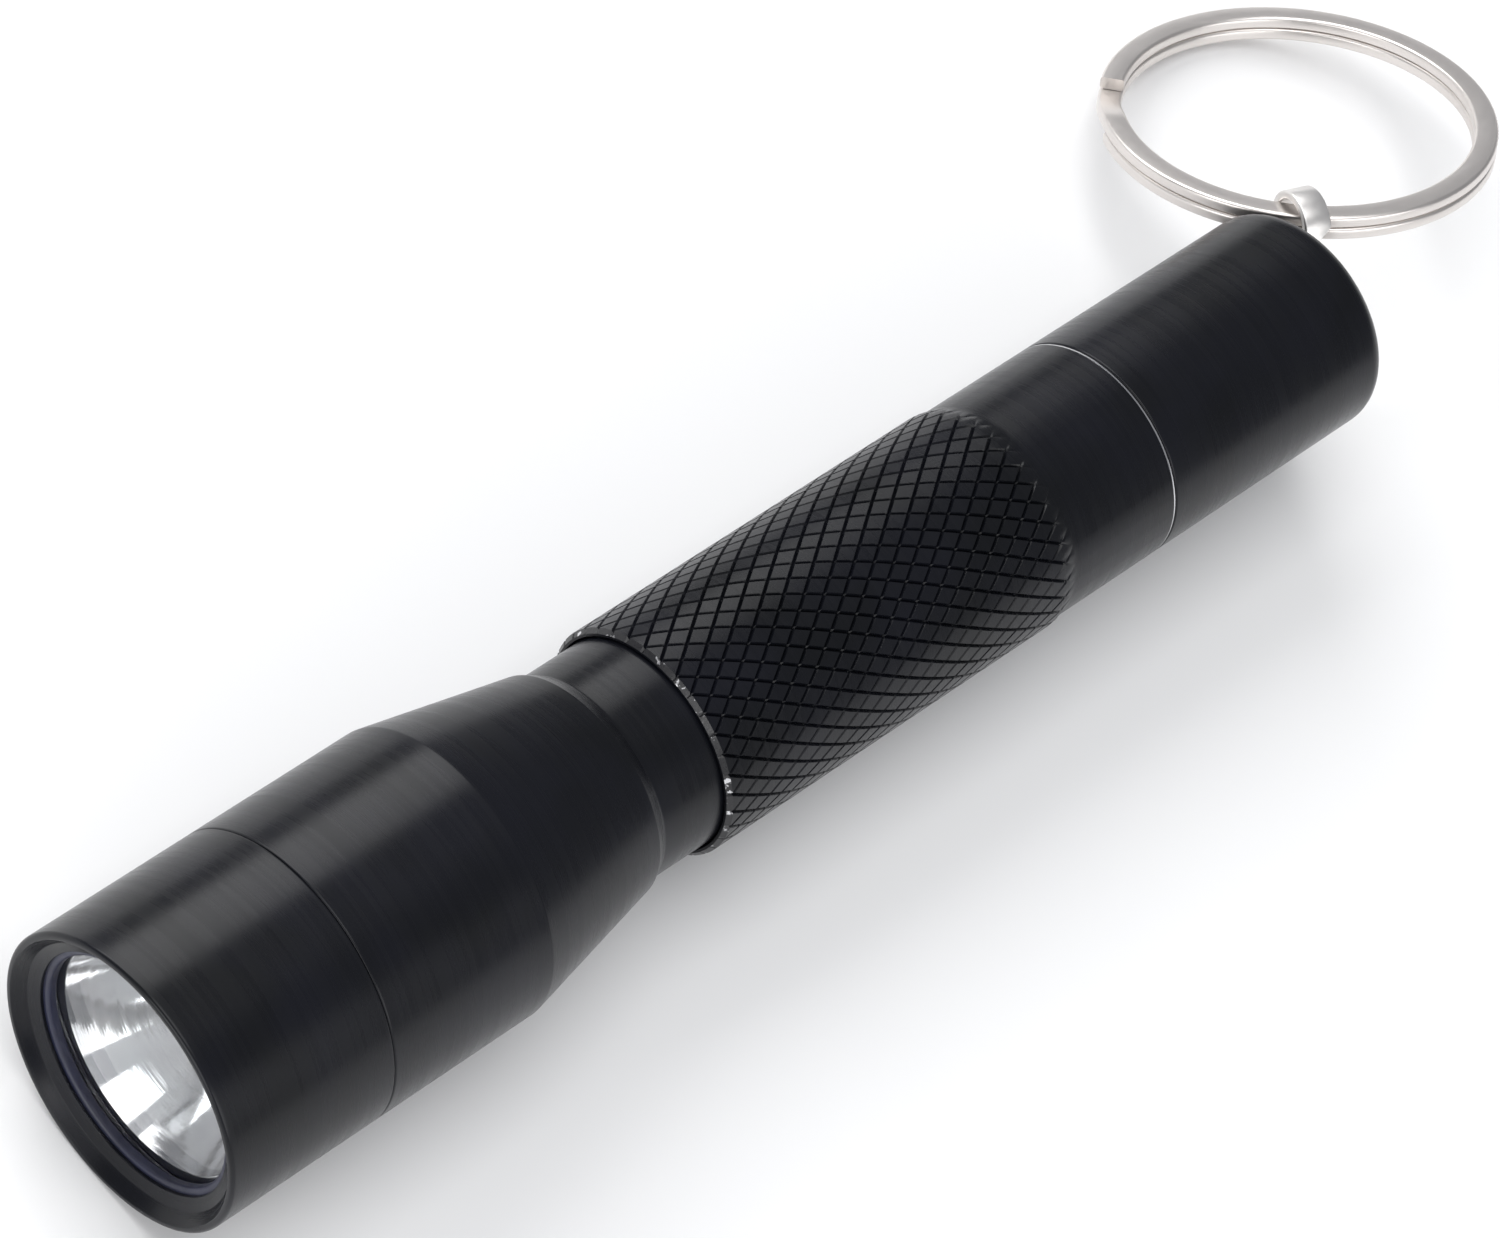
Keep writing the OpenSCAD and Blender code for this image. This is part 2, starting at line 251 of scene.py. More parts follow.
def rounded(corners, steps=4):
    """Profile with an arc at each corner given as (radius, y, rounding), and support rows beside the arcs."""
    rows = []
    for i, corner in enumerate(corners):
        if len(corner) == 2 or corner[2] == 0:
            rows.append(tuple(corner[:2]))
            continue
        here = Vector(corner[:2])
        back = Vector(corners[i - 1][:2]) - here
        ahead = Vector(corners[(i + 1) % len(corners)][:2]) - here
        half = back.angle(ahead) / 2
        leg = corner[2] / math.tan(half)
        u, v = back.normalized(), ahead.normalized()
        centre = here + (u + v).normalized() * (corner[2] / math.sin(half))
        start, end = here + u * leg - centre, here + v * leg - centre
        sweep = start.angle(end)
        support = 0.3 * corner[2]
        if back.length > leg + 2 * support:
            rows.append(tuple(here + u * (leg + support)))
        for k in range(steps + 1):
            t = k / steps
            arm = (start * math.sin((1 - t) * sweep) + end * math.sin(t * sweep)) / math.sin(sweep)
            rows.append(tuple(centre + arm))
        if ahead.length > leg + 2 * support:
            rows.append(tuple(here + v * (leg + support)))
    return rows


def smoothstep(t):
    t = min(1.0, max(0.0, t))
    return t * t * (3 - 2 * t)


def thread_rows(y0, y1, crest, root):
    """Rows of a right-hand thread between two distances from the rim, which fades at both ends."""
    per_turn = 10
    count = round(abs(y1 - y0) / THREAD_PITCH * per_turn)
    rows = []
    for i in range(count + 1):
        y = y0 + (y1 - y0) * i / count
        fade = smoothstep(min(abs(y - y0), abs(y1 - y)) / THREAD_PITCH)

        def radius(angle, y=y, fade=fade):
            phase = (y / THREAD_PITCH + angle / (2 * math.pi)) % 1
            flank = min(1.0, max(0.0, 3.2 * abs(2 * phase - 1) - 1.1))
            return crest + (root - crest) * fade * flank

        rows.append((radius, y))
    return rows


def turned_piece(name, body, slot, rows, *materials, sides=160, sharp=32):
    shell = Shell()
    lathe(shell, rows, even_angles(sides))
    return shell.build(name, body, slot, *materials, sharp=sharp)


def sweep(shell, loops, closed):
    """Skins a row of section loops, and caps the ends if the row is open."""
    rings = [shell.ring(loop) for loop in loops]
    for one, two in zip(rings, rings[1:]):
        shell.bridge(one, two)
    if closed:
        shell.bridge(rings[-1], rings[0])
    else:
        shell.faces.append(tuple(reversed(rings[0])))
        shell.faces.append(tuple(rings[-1]))


def rounded_section(width, height, edge, steps=4):
    """Rounded rectangle as (across, up) points about its middle."""
    points = []
    for quarter, (sx, sy) in enumerate(((1, 1), (-1, 1), (-1, -1), (1, -1))):
        for k in range(steps + 1):
            a = math.radians(90 * (quarter + k / steps))
            points.append((sx * (width / 2 - edge) + edge * math.cos(a),
                           sy * (height / 2 - edge) + edge * math.sin(a)))
    return points


def paint_faces(piece, slot, test):
    """Gives a material slot to the faces whose middle, in millimetres from the axis and the rim, passes."""
    for face in piece.data.polygons:
        middle = face.center / MM
        if test(math.hypot(middle.x, middle.z), middle.y):
            face.material_index = slot


# Materials

def shader_material(name, colour, metallic=0.0, roughness=0.5):
    """New material with its Principled shader."""
    material = bpy.data.materials.new(name)
    material.use_nodes = True
    tree = material.node_tree
    shader = tree.nodes["Principled BSDF"]
    shader.inputs["Base Color"].default_value = (*colour, 1)
    shader.inputs["Metallic"].default_value = metallic
    shader.inputs["Roughness"].default_value = roughness
    material.diffuse_color = (*colour, 1)
    return material, tree, shader


def noise(tree, size, detail=3.0, stretch=(1, 1, 1)):
    """Noise over the piece with features of about this size in millimetres."""
    place = tree.nodes.new("ShaderNodeTexCoord")
    mapping = tree.nodes.new("ShaderNodeMapping")
    texture = tree.nodes.new("ShaderNodeTexNoise")
    mapping.inputs["Scale"].default_value = stretch
    texture.inputs["Scale"].default_value = 1 / (size * MM)
    texture.inputs["Detail"].default_value = detail
    tree.links.new(place.outputs["Object"], mapping.inputs["Vector"])
    tree.links.new(mapping.outputs["Vector"], texture.inputs["Vector"])
    return texture.outputs["Fac"]


def ramp(tree, source, low, high, at=(0.35, 0.65)):
    """Colour that goes from low to high as the source passes between two levels."""
    node = tree.nodes.new("ShaderNodeValToRGB")
    node.color_ramp.elements[0].position = at[0]
    node.color_ramp.elements[0].color = (*low, 1)
    node.color_ramp.elements[1].position = at[1]
    node.color_ramp.elements[1].color = (*high, 1)
    tree.links.new(source, node.inputs["Fac"])
    return node.outputs["Color"]


def spread(tree, source, low, high):
    """Number from low to high as the source goes from 0.3 to 0.7."""
    node = tree.nodes.new("ShaderNodeMapRange")
    node.inputs["From Min"].default_value = 0.3
    node.inputs["From Max"].default_value = 0.7
    node.inputs["To Min"].default_value = low
    node.inputs["To Max"].default_value = high
    tree.links.new(source, node.inputs["Value"])
    return node.outputs["Result"]


def bump(tree, shader, source, depth, under=None):
    """Relief of this depth in millimetres on the shader."""
    node = tree.nodes.new("ShaderNodeBump")
    node.inputs["Distance"].default_value = depth * MM
    node.inputs["Strength"].default_value = 1.0
    tree.links.new(source, node.inputs["Height"])
    if under is not None:
        tree.links.new(under, node.inputs["Normal"])
    tree.links.new(node.outputs["Normal"], shader.inputs["Normal"])
    return node.outputs["Normal"]


def lathe_lines(tree, pitch):
    """Fine tool marks round the light's axis."""
    return noise(tree, pitch, detail=2.0, stretch=(0.02, 1, 0.02))


def scaled(colour, factor):
    return tuple(min(1.0, c * factor) for c in colour)


def plain_finish(name, colour, metallic, roughness, vary=0.12, grain=0.25, depth=0.004, stretch=(1, 1, 1)):
    """Finish with cloudy colour, uneven gloss and a fine grain of the given size."""
    material, tree, shader = shader_material(name, colour, metallic, roughness)
    cloud = noise(tree, 2.5)
    tint = ramp(tree, cloud, scaled(colour, 1 - vary), scaled(colour, 1 + vary))
    tree.links.new(tint, shader.inputs["Base Color"])
    fine = noise(tree, grain, stretch=stretch)
    tree.links.new(spread(tree, fine, roughness * 0.85, roughness * 1.15), shader.inputs["Roughness"])
    bump(tree, shader, fine, depth)
    return material


def anodised_finish():
    """Black anodised aluminium: satin, with faint tool marks and a slightly blue, uneven dye."""
    colour = (0.0045, 0.005, 0.0072)
    material, tree, shader = shader_material("black_anodised", colour, 0.0, 0.27)
    dye = ramp(tree, noise(tree, 6.0), (0.0035, 0.004, 0.0055), (0.0055, 0.006, 0.0095))
    tree.links.new(dye, shader.inputs["Base Color"])
    marks = lathe_lines(tree, 0.35)
    tree.links.new(spread(tree, marks, 0.24, 0.31), shader.inputs["Roughness"])
    under = bump(tree, shader, noise(tree, 0.12), 0.001)
    bump(tree, shader, marks, 0.0005, under=under)
    shader.inputs["Specular IOR Level"].default_value = 0.25
    return material


def bare_aluminium():
    """Machined aluminium with tool marks, where no dye was left on an edge."""
    material, tree, shader = shader_material("bare_aluminium", (0.8, 0.8, 0.82), 1.0, 0.26)
    marks = lathe_lines(tree, 0.08)
    tree.links.new(ramp(tree, marks, (0.62, 0.62, 0.64), (0.86, 0.86, 0.87)), shader.inputs["Base Color"])
    tree.links.new(spread(tree, marks, 0.2, 0.34), shader.inputs["Roughness"])
    bump(tree, shader, marks, 0.003)
    return material


def worn_edge():
    """Anodised edge where wear shows the metal in short dashes."""
    material, tree, shader = shader_material("worn_edge", (0.02, 0.02, 0.022), 0.5, 0.3)
    worn = noise(tree, 0.5, detail=4.0)
    tree.links.new(ramp(tree, worn, (0.012, 0.012, 0.014), (0.7, 0.7, 0.72), (0.6, 0.66)),
                   shader.inputs["Base Color"])
    mask = ramp(tree, worn, (0, 0, 0), (1, 1, 1), (0.6, 0.66))
    tree.links.new(mask, shader.inputs["Metallic"])
    tree.links.new(spread(tree, noise(tree, 0.1), 0.24, 0.4), shader.inputs["Roughness"])
    bump(tree, shader, worn, 0.01)
    return material


def mirror_finish():
    """Vacuum-metallised reflector, with the faint rings its mould left."""
    material, tree, shader = shader_material("metallised_mirror", (0.94, 0.94, 0.95), 1.0, 0.09)
    rings = lathe_lines(tree, 0.45)
    tree.links.new(spread(tree, rings, 0.05, 0.13), shader.inputs["Roughness"])
    tree.links.new(ramp(tree, noise(tree, 3.0), (0.91, 0.91, 0.92), (0.97, 0.97, 0.97)),
                   shader.inputs["Base Color"])
    bump(tree, shader, rings, 0.008)
    return material


def lens_finish():
    """Clear glass, very slightly blue and uneven."""
    material, tree, shader = shader_material("lens_glass", (0.97, 0.985, 0.99), 0.0, 0.01)
    shader.inputs["Transmission Weight"].default_value = 1.0
    shader.inputs["IOR"].default_value = 1.47
    tree.links.new(ramp(tree, noise(tree, 5.0), (0.95, 0.98, 0.99), (0.99, 0.99, 1.0)),
                   shader.inputs["Base Color"])
    bump(tree, shader, noise(tree, 4.0), 0.0005)
    return material


def silicone_finish():
    """Clear silicone dome over the yellow phosphor."""
    material, tree, shader = shader_material("led_silicone", (0.96, 0.95, 0.85), 0.0, 0.06)
    shader.inputs["Transmission Weight"].default_value = 0.9
    shader.inputs["IOR"].default_value = 1.42
    tree.links.new(ramp(tree, noise(tree, 0.8), (0.96, 0.94, 0.8), (0.98, 0.97, 0.9)),
                   shader.inputs["Base Color"])
    bump(tree, shader, noise(tree, 0.5), 0.002)
    return material


def nickel_finish(name, colour, roughness):
    """Satin nickel plating with faint clouds and light scratches."""
    material, tree, shader = shader_material(name, colour, 1.0, roughness)
    stain = noise(tree, 3.5, detail=3.0)
    tree.links.new(ramp(tree, stain, scaled(colour, 0.96), scaled(colour, 1.04), (0.3, 0.7)),
                   shader.inputs["Base Color"])
    scratch = noise(tree, 0.3, detail=3.0, stretch=(1, 1, 0.25))
    tree.links.new(spread(tree, scratch, roughness * 0.93, roughness * 1.08), shader.inputs["Roughness"])
    bump(tree, shader, scratch, 0.0012)
    return material


def label_finish():
    """Printed foil on the cell: a dark sleeve with one metallic band at the terminal end, no lettering."""
    material, tree, shader = shader_material("cell_sleeve", (0.1, 0.11, 0.13), 0.4, 0.3)
    place = tree.nodes.new("ShaderNodeTexCoord")
    parts = tree.nodes.new("ShaderNodeSeparateXYZ")
    band = tree.nodes.new("ShaderNodeMapRange")
    band.inputs["From Min"].default_value = BAND_END * MM
    band.inputs["From Max"].default_value = (BAND_END + 0.3) * MM
    tree.links.new(place.outputs["Object"], parts.inputs["Vector"])
    tree.links.new(parts.outputs["Y"], band.inputs["Value"])
    tree.links.new(ramp(tree, band.outputs["Result"], (0.62, 0.45, 0.2), (0.05, 0.055, 0.07), (0.4, 0.6)),
                   shader.inputs["Base Color"])
    tree.links.new(spread(tree, noise(tree, 1.2), 0.24, 0.36), shader.inputs["Roughness"])
    bump(tree, shader, noise(tree, 1.5), 0.01)
    return material


BLACK = anodised_finish()
BARE = bare_aluminium()
WORN = worn_edge()
MIRROR = mirror_finish()
GLASS = lens_finish()
DOME = silicone_finish()
SEAL_BLUE = plain_finish("seal_blue", (0.012, 0.014, 0.036), 0.0, 0.42, vary=0.2, grain=0.5)
RUBBER = plain_finish("rubber_black", (0.018, 0.018, 0.019), 0.0, 0.62, vary=0.2, grain=0.15, depth=0.008)
CERAMIC = plain_finish("led_ceramic", (0.86, 0.86, 0.84), 0.0, 0.45, vary=0.05, grain=0.08, depth=0.004)
PHOSPHOR = plain_finish("led_phosphor", (0.82, 0.68, 0.12), 0.0, 0.6, vary=0.08, grain=0.05, depth=0.006)
BOARD = plain_finish("board_white", (0.8, 0.8, 0.78), 0.0, 0.4, vary=0.05, grain=0.3)
GREEN = plain_finish("board_green", (0.02, 0.12, 0.05), 0.0, 0.35, vary=0.2, grain=0.3)
WIRE = plain_finish("wire_red", (0.45, 0.03, 0.025), 0.0, 0.45, vary=0.1, grain=0.3)
BRASS = plain_finish("brass_turned", (0.72, 0.5, 0.2), 1.0, 0.28, vary=0.1, grain=0.12,
                     depth=0.004, stretch=(0.02, 1, 0.02))
CHIP = plain_finish("chip_black", (0.02, 0.02, 0.02), 0.0, 0.55, vary=0.2, grain=0.06)
FERRITE = plain_finish("ferrite_grey", (0.06, 0.06, 0.065), 0.1, 0.6, vary=0.2, grain=0.1, depth=0.01)
CAPACITOR = plain_finish("capacitor_tan", (0.45, 0.33, 0.2), 0.0, 0.4, vary=0.1, grain=0.1)
INSULATOR = plain_finish("insulator_white", (0.75, 0.75, 0.72), 0.0, 0.5, vary=0.06, grain=0.3)
STEEL = plain_finish("cell_steel", (0.6, 0.6, 0.61), 1.0, 0.25, vary=0.1, grain=0.2,
                     stretch=(0.03, 1, 0.03))
CARD = plain_finish("cell_card", (0.35, 0.34, 0.3), 0.0, 0.8, vary=0.15, grain=0.2, depth=0.02)
LABEL = label_finish()
SPRING = plain_finish("spring_steel", (0.66, 0.65, 0.62), 1.0, 0.24, vary=0.08, grain=0.15)
RING_NICKEL = nickel_finish("ring_nickel", (0.76, 0.72, 0.69), 0.34)
EYELET_NICKEL = nickel_finish("eyelet_nickel", (0.8, 0.78, 0.76), 0.38)


# Head

def bezel():
    rows = rounded([
        (BEZEL_THREAD_R, BEZEL_Y), (HEAD_R, BEZEL_Y, EDGE), (HEAD_R, RIM_Y, RIM_ROUND),
        (HEAD_R - RIM_ROUND - RIM_FLAT, RIM_Y, 0.1), (LEDGE_R, LEDGE_Y, 0.08), (WINDOW_R, WINDOW_Y, 0.06),
        (WINDOW_R, SEAL_Y), (POCKET_R, SEAL_Y), (POCKET_R, SHELL_Y), (BEZEL_THREAD_R, SHELL_Y)], steps=8)
    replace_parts(turned_piece("bezel", "head", "anodised_black", rows, BLACK, sides=192), "bezel_ring")


def front_seal():
    rows = rounded([
        (SEAL_R, SEAL_Y, 0.05), (SEAL_R, LENS_Y, 0.05), (SEAL_BORE_R, LENS_Y, 0.12),
        (SEAL_BORE_R, SEAL_Y, 0.22)], steps=5)
    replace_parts(turned_piece("front_seal", "head", "seal_blue", rows, SEAL_BLUE), "lens_seal")


def lens():
    grind = 0.15
    front, back = LENS_Y + 0.02, FLANGE_Y - 0.03
    rows = [(0.0, front), (LENS_R - grind, front), (LENS_R, front + grind), (LENS_R, back - grind),
            (LENS_R - grind, back), (0.0, back)]
    piece = turned_piece("lens_disc", "head", "lens_glass", rows, GLASS, sharp=20)
    piece.visible_shadow = False
    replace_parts(piece, "lens")


def bowl_point(radius):
    return (radius, FLANGE_Y + BOWL_DEPTH - radius * radius / (4 * BOWL_FOCUS))


def reflector():
    step = (BOWL_HOLE_R - BOWL_R) / BOWL_STEPS
    bowl = [bowl_point(BOWL_R + step * i) for i in range(BOWL_STEPS + 1)]
    hole_y = bowl[-1][1]
    rows = bowl + [
        (BOWL_BACK_R, hole_y), (REFLECTOR_R, REFLECTOR_SHOULDER), (REFLECTOR_R, SHELL_Y), (LENS_R, SHELL_Y),
        (LENS_R, FLANGE_Y), (BOWL_R + 0.12, FLANGE_Y), (BOWL_R + 0.04, FLANGE_Y + 0.03)]
    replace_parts(turned_piece("reflector_bowl", "head", "reflector_mirror", rows, MIRROR), "reflector")


def emitter():
    """Half a ball of silicone on the emitter's ceramic body."""
    steps = 14
    rows = [(0.0, PACKAGE_Y - DOME_R)]
    for i in range(1, steps + 1):
        a = math.pi / 2 * i / steps
        rows.append((DOME_R * math.sin(a), PACKAGE_Y - DOME_R * math.cos(a)))
    rows.append((0.0, PACKAGE_Y))
    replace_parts(turned_piece("led_dome", "head", "led_silicone", rows, DOME, sides=64), "led_emitter")


def slab(name, body, slot, material, middle, size, edge):
    """Plate with cut corners and rounded edges, square to the light's axis."""
    shell = Shell()
    outline = rounded_section(size[0], size[2], edge * 3, steps=3)
    inset = rounded_section(size[0] - edge * 2, size[2] - edge * 2, edge * 2, steps=3)
    half = size[1] / 2
    levels = [(inset, -half), (outline, -half + edge), (outline, half - edge), (inset, half)]
    loops = [[(middle[0] + x, middle[1] + y, middle[2] + z) for x, z in points] for points, y in levels]
    sweep(shell, loops, closed=False)
    return shell.build(name, body, slot, material)


def led_package():
    """Ceramic body with the yellow phosphor square on its front."""
    base = slab("led_base", "head", "led_ceramic", CERAMIC, (0, PACKAGE_Y + PACKAGE_T / 2, 0),
                (PACKAGE_W, PACKAGE_T, PACKAGE_W), 0.06)
    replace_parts(base, "led_package")
    slab("led_phosphor", "head", "led_silicone", PHOSPHOR, (0, PACKAGE_Y - 0.04, 0),
         (PHOSPHOR_W, PHOSPHOR_T, PHOSPHOR_W), 0.01)


def head_body():
    groove_start, groove_end, groove_r = HEAD_GROOVE
    front = rounded([
        (SLEEVE_R + 0.02, SHELL_Y), (SHELL_THREAD_R, SHELL_Y, 0.1), (SHELL_THREAD_R, BEZEL_Y),
        (HEAD_R, BEZEL_Y, EDGE), (HEAD_R, STRAIGHT_END, 0.6), (CONE_END_R, CONE_END, 0.15),
        (NECK_R, NECK_START, 0.35), (NECK_R, groove_start, 0.05), (groove_r, groove_start),
        (groove_r, groove_end), (NECK_R, groove_end, 0.05), (NECK_R, NECK_SEAT, 0.08), (TUBE_R, NECK_SEAT)],
        steps=6)
    threads = thread_rows(NECK_SEAT + 0.3, TUBE_END - 0.4, TUBE_R, TUBE_R - 0.24)
    inside = [(TUBE_R - 0.3, TUBE_END), (TUBE_BORE, TUBE_END), (TUBE_BORE, SLEEVE_END),
              (SLEEVE_NECK_R, SLEEVE_END), (SLEEVE_NECK_R, SLEEVE_STEP), (SLEEVE_R + 0.02, SLEEVE_STEP)]
    rows = front + threads + [(TUBE_R, TUBE_END - 0.3)] + inside
    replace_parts(turned_piece("head_body", "head", "anodised_black", rows, BLACK, sides=192), "head_shell")


# Barrel

def knurl_station(k):
    """Place of lattice line k across the grooves, in groove spacings: four lines for each spacing."""
    lines = (0.0, GROOVE_SHARE, 0.5, 1 - GROOVE_SHARE)
    return k // 4 + lines[k % 4]


def knurl_surface(y):
    """Radius of the diamonds' tops, and how much of the grooves' depth is left, at a place on the grip."""
    drop = smoothstep((y - (KNURL_END - RUNOUT)) / RUNOUT)
    fade = smoothstep((KNURL_END - y) / KNURL_FADE)
    return KNURL_R + (PLAIN_R - KNURL_R) * drop, fade


def knurl(shell):
    """Two families of helical grooves on one lattice. Gives the loops at the front and back of the grip."""
    first_y, last_y = LIP_Y + LIP_ROUND, KNURL_END
    around = 8 * KNURL_STARTS
    top = 4 * KNURL_HALVES
    number, loops = {}, []
    for s in range(top + 1):
        points, keys = [], []
        for d in range(s % 2, around, 2):
            a, b = (s + d) // 2, (s - d) // 2
            u, v = knurl_station(a), knurl_station(b)
            y = first_y + (last_y - first_y) * (u + v) / KNURL_HALVES
            radius, fade = knurl_surface(y)
            if a % 4 == 0 or b % 4 == 0:
                radius -= GROOVE_DEPTH * fade
            points.append(turn_point(radius, y, math.pi * (u - v) / KNURL_STARTS))
            keys.append((s, d))
        loop = shell.ring(points)
        number.update(zip(keys, loop))
        loops.append(loop)
    for s in range(-1, top):
        for d in range(s % 2, around, 2):
            corners = ((s, d), (s + 1, (d + 1) % around), (s + 2, d), (s + 1, (d - 1) % around))
            face = tuple(number[key] for key in corners if key in number)
            if len(face) > 2:
                shell.faces.append(face)
    return loops[0], loops[-1]


def barrel():
    shell = Shell()
    lip, grip_end = knurl(shell)
    angles = [2 * math.pi * knurl_station(n) / KNURL_STARTS for n in range(4 * KNURL_STARTS)]
    groove_start, groove_end, groove_r = TAIL_GROOVE
    rear = rounded([
        (PLAIN_R, KNURL_END + 0.2), (PLAIN_R, SEAM_Y, 0.14), (TAIL_TUBE_R, SEAM_Y),
        (TAIL_TUBE_R, groove_start, 0.04), (groove_r, groove_start), (groove_r, groove_end),
        (TAIL_TUBE_R, groove_end, 0.04), (TAIL_TUBE_R, groove_end + 0.2)])
    threads = thread_rows(groove_end + 0.3, TAIL_TUBE_END - 0.4, TAIL_TUBE_R, TAIL_TUBE_R - 0.3)
    end = [(TAIL_TUBE_R, TAIL_TUBE_END - 0.3), (TAIL_TUBE_R - 0.3, TAIL_TUBE_END), (CELL_BORE, TAIL_TUBE_END),
           (CELL_BORE, THREAD_END), (THREAD_BORE, THREAD_END)]
    front_threads = thread_rows(THREAD_END - 0.2, MOUTH_END + 0.2, THREAD_BORE, THREAD_BORE + 0.24)
    mouth = [(THREAD_BORE, MOUTH_END), (MOUTH_R, MOUTH_END), (MOUTH_R, LIP_Y + 0.15), (MOUTH_R + 0.1, LIP_Y),
             (KNURL_R - LIP_ROUND, LIP_Y)]
    first, last = lathe(shell, rear + threads + end + front_threads + mouth, angles, closed=False)
    shell.bridge(grip_end, first)
    shell.bridge(last, lip)
    piece = shell.build("barrel_knurled", "body_tube", "anodised_black", BLACK, BARE, WORN, sharp=28)
    paint_faces(piece, 1, lambda r, y: SEAM_Y - 0.2 < y < SEAM_Y + 0.01 and r > PLAIN_R - 0.2)
    paint_faces(piece, 2, lambda r, y: LIP_Y - 0.01 < y < LIP_Y + LIP_ROUND and r > KNURL_R - 0.3)
    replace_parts(piece, "barrel")


# Tail cap, eyelet and ring

def tail_cap():
    thread_front = CAP_Y + 2.4
    threads = thread_rows(CAP_BORE_END - 0.2, thread_front, CAP_BORE, CAP_BORE + 0.28)
    outside = rounded([
        (CAP_BORE, thread_front - 0.2), (CAP_BORE, CAP_Y, 0.15), (PLAIN_R, CAP_Y, EDGE),
        (PLAIN_R, BODY_END, TAIL_ROUND), (RIVET_R, BODY_END, 0.08), (RIVET_R, CAP_FLOOR),
        (CAVITY_R, CAP_FLOOR, 0.3), (CAVITY_R, CAP_BORE_END)], steps=8)
    rows = [(CAP_BORE, CAP_BORE_END)] + threads + outside
    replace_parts(turned_piece("cap", "tail_end", "anodised_black", rows, BLACK, sides=192), "tail_cap")


def rivet():
    head_y = CAP_FLOOR - WASHER_T - RIVET_HEAD_T
    neck_y = head_y + RIVET_HEAD_T
    cap_y = PLATE_Y + STRIP_T + PLATE_GAP
    rows = [(0.0, head_y), (RIVET_HEAD_R - 0.2, head_y), (RIVET_HEAD_R, head_y + 0.2),
            (RIVET_HEAD_R, neck_y), (RIVET_R, neck_y), (RIVET_R, cap_y), (RIVET_HEAD_R - 0.05, cap_y),
            (RIVET_HEAD_R, cap_y + 0.06), (1.88, cap_y + 0.24), (1.6, cap_y + 0.42), (1.15, cap_y + 0.54),
            (0.6, cap_y + 0.59), (0.35, cap_y + 0.52), (0.0, cap_y + 0.5)]
    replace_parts(turned_piece("rivet", "tail_end", "ring_nickel", rows, EYELET_NICKEL, sides=72, sharp=50),
                "eyelet_rivet")


def ring_frame():
    """Place of the ring: X towards its middle from the loop, Z square to its plane."""
    roll, dip, turn = RING_TILT
    tilt = Matrix.Rotation(turn, 4, "Z") @ Matrix.Rotation(dip, 4, "Y") @ Matrix.Rotation(roll, 4, "X")
    return Matrix.Translation(LOOP_POS) @ tilt


def loop_path():
    """Middle line, width direction and outward direction of the strip, from the plate round the ring."""
    axes = ring_frame().to_3x3()
    yaw = Matrix.Rotation(LOOP_YAW, 3, axes.col[2])
    ahead, along, up = yaw @ axes.col[0], yaw @ -axes.col[1], axes.col[2].copy()
    centre = LOOP_POS + axes.col[1] * LOOP_SHIFT
    away = Vector((math.cos(EYELET_TURN), 0, math.sin(EYELET_TURN)))
    foot = away * FOOT_R + Vector((0, PLATE_Y + STRIP_T, 0))
    across = Vector((-away.z, 0, away.x))
    if across.dot(along) < 0:
        across = -across
    to_foot = foot - centre
    flat = Vector((to_foot.dot(ahead), to_foot.dot(up)))
    lean = math.atan2(flat.y, flat.x)
    half = math.acos(LOOP_MID_R / flat.length)
    arc_steps, leg_steps = 30, 8
    first, last = lean + half, lean - half + 2 * math.pi
    stations = []
    for i in range(arc_steps + 1):
        a = first + (last - first) * i / arc_steps
        out = ahead * math.cos(a) + up * math.sin(a)
        stations.append((centre + out * LOOP_MID_R, along, out))
    legs = []
    for side, (point, _, out) in ((-1, stations[0]), (1, stations[-1])):
        ground = foot + away * (FOOT_GAP * side)
        leg = []
        for i in range(1, leg_steps + 1):
            t = i / leg_steps
            turn_share = smoothstep(t)
            middle = point.lerp(ground, t)
            leg.append((middle, along.lerp(across, turn_share).normalized(),
                        out.lerp(away * side, turn_share).normalized()))
        legs.append(leg)
    return legs[0][::-1] + stations + legs[1]


def eyelet():
    shell = Shell()
    section = rounded_section(STRIP_W, STRIP_T, 0.12, steps=3)
    loops = []
    for middle, across, out in loop_path():
        side = across - out * across.dot(out)
        side.normalize()
        loops.append([middle + side * x + out * y for x, y in section])
    sweep(shell, loops, closed=False)
    plate = rounded([
        (RIVET_R + 0.06, PLATE_Y, 0.08), (PLATE_R, PLATE_Y, 0.12), (PLATE_R, PLATE_Y + STRIP_T, 0.15),
        (RIVET_R + 0.06, PLATE_Y + STRIP_T, 0.08)])
    lathe(shell, plate, even_angles(96))
    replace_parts(shell.build("eyelet_strip", "eyelet", "ring_nickel", EYELET_NICKEL, sharp=40), "eyelet")


def split_ring():
    """Two flat turns of wire. The wire steps from one to the other beside its two cut ends."""
    joggle = math.radians(90)  # where the wire steps over, from the direction away from the eyelet
    ramp_half = math.radians(11)
    gap = math.radians(1.0)
    place = ring_frame() @ Matrix.Translation((RING_MID_R, 0, 0))
    section = rounded_section(WIRE_W, WIRE_T - 0.03, 0.2)
    first, last = ramp_half + gap, 4 * math.pi - ramp_half - gap
    steps = 300
    loops = []
    for i in range(steps + 1):
        a = first + (last - first) * i / steps
        rise = smoothstep((a - (2 * math.pi - ramp_half)) / (2 * ramp_half))
        height = WIRE_T * (rise - 0.5)
        out = Vector((math.cos(a + joggle), math.sin(a + joggle), 0))
        loops.append([place @ (out * (RING_MID_R + x) + Vector((0, 0, height + z))) for x, z in section])
    shell = Shell()
    sweep(shell, loops, closed=False)
    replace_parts(shell.build("key_ring_wire", "key_ring", "ring_nickel", RING_NICKEL, sharp=40), "split_ring")


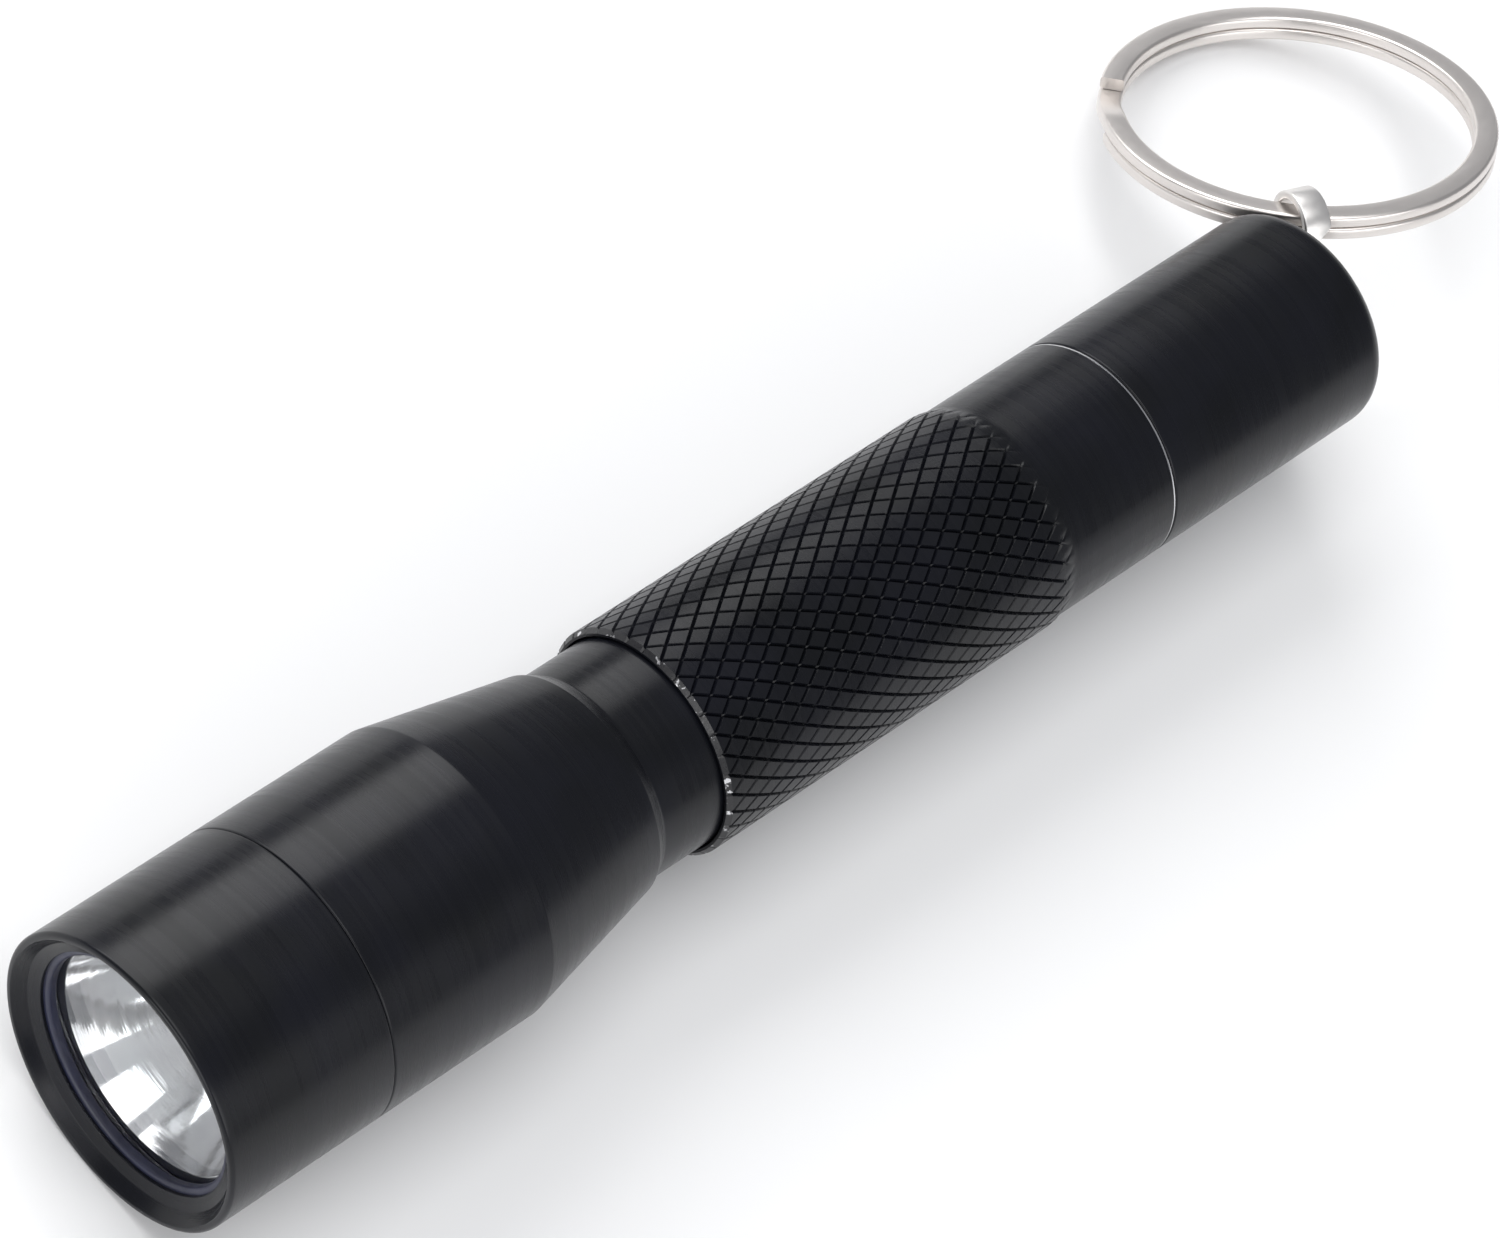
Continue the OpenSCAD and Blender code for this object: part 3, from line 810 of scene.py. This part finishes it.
def spring():
    """Conical coil with closed ends between the tail cap's contact and the cell."""
    low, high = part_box("tail_spring")
    per_turn = 32
    count = SPRING_TURNS * per_turn
    y0, y1 = high.y / MM - SPRING_WIRE_R, low.y / MM + SPRING_WIRE_R
    section = even_angles(14)
    loops = []
    for i in range(count + 1):
        a, u = 2 * math.pi * i / per_turn, i / count
        r = SPRING_BIG_R + (SPRING_SMALL_R - SPRING_BIG_R) * u
        lift = min(1, max(0, (i - per_turn * 0.8) / (count - per_turn * 1.6)))
        y = y0 + (y1 - y0) * lift
        loops.append([turn_point(r + SPRING_WIRE_R * math.cos(b), y + SPRING_WIRE_R * math.sin(b), a)
                      for b in section])
    shell = Shell()
    sweep(shell, loops, closed=False)
    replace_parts(shell.build("coil_spring", "cap_thread", "spring_steel", SPRING), "tail_spring")


KEPT_FINISHES = {
    "led_board": BOARD, "led_wires": WIRE, "module_sleeve": BRASS, "driver_board": GREEN,
    "driver_chip": CHIP, "driver_inductor": FERRITE, "driver_capacitors": CAPACITOR,
    "contact_insulator": INSULATOR, "positive_contact": BRASS, "head_seal": RUBBER, "cell_can": STEEL,
    "cell_label": LABEL, "cell_insulator": CARD, "cell_terminal": STEEL, "cell_base": STEEL,
    "tail_seal": RUBBER, "spring_plate": BRASS, "rivet_washer": STEEL,
}


def finish_kept_nodes():
    """Gives each CAD node that stays its finish."""
    for name, material in KEPT_FINISHES.items():
        mesh = nodes[name].data
        mesh.materials.clear()
        mesh.materials.append(material)


# Stage

def floor():
    half = 3.0
    mesh = bpy.data.meshes.new("studio_floor")
    corners = [(-half, -half), (half, -half), (half, half), (-half, half)]
    mesh.from_pydata([(x, y, FLOOR_Z * MM) for x, y in corners], [], [(0, 1, 2, 3)])
    plane = bpy.data.objects.new("studio_floor", mesh)
    bpy.context.scene.collection.objects.link(plane)
    material, tree, shader = shader_material("pale_floor", (0.92, 0.92, 0.92), 0.0, 0.85)
    tree.links.new(ramp(tree, noise(tree, 60.0), (0.915, 0.915, 0.92), (0.93, 0.93, 0.93)),
                   shader.inputs["Base Color"])
    shader.inputs["Specular IOR Level"].default_value = 0.1
    mesh.materials.append(material)


def soft_light(name, place, aim, size, power):
    """Rectangular soft box at a place in metres, pointed at another."""
    data = bpy.data.lights.new(name, "AREA")
    data.shape = "RECTANGLE"
    data.size, data.size_y = size
    data.energy = power
    lamp = bpy.data.objects.new(name, data)
    bpy.context.scene.collection.objects.link(lamp)
    lamp.location = place
    lamp.rotation_mode = "QUATERNION"
    lamp.rotation_quaternion = (Vector(aim) - Vector(place)).to_track_quat("-Z", "Y")


def lights():
    middle = (0, 0.045, 0)
    soft_light("key_left", (-0.42, 0.12, 0.34), middle, (0.5, 0.4), 2.2)
    soft_light("fill_right", (0.5, 0.0, 0.22), middle, (0.5, 0.3), 1.1)
    soft_light("front", (0.06, -0.5, 0.16), middle, (0.5, 0.35), 1.6)
    soft_light("top", (0.0, 0.0, 0.7), middle, (0.5, 0.5), 2.0)
    world = bpy.data.worlds.new("studio")
    world.use_nodes = True
    world.node_tree.nodes["Background"].inputs["Color"].default_value = (0.93, 0.95, 1.0, 1)
    world.node_tree.nodes["Background"].inputs["Strength"].default_value = 0.3
    bpy.context.scene.world = world


def camera():
    data = bpy.data.cameras.new("photo_camera")
    data.sensor_width = 36.0
    data.lens = CAMERA_LENS
    data.clip_start, data.clip_end = 0.01, 20.0
    view = bpy.data.objects.new("photo_camera", data)
    bpy.context.scene.collection.objects.link(view)
    right, up = Vector(CAMERA_RIGHT), Vector(CAMERA_UP)
    back = right.cross(up).normalized()
    up = back.cross(right).normalized()
    right.normalize()
    turn = Matrix((right, up, back)).transposed().to_4x4()
    view.matrix_world = Matrix.Translation(Vector(CAMERA_PLACE) * MM) @ turn
    bpy.context.scene.camera = view


bezel()
front_seal()
lens()
reflector()
emitter()
led_package()
head_body()
barrel()
tail_cap()
rivet()
eyelet()
split_ring()
spring()
finish_kept_nodes()
floor()
lights()
camera()
bpy.context.scene.view_settings.view_transform = "Standard"

bpy.context.view_layer.update()
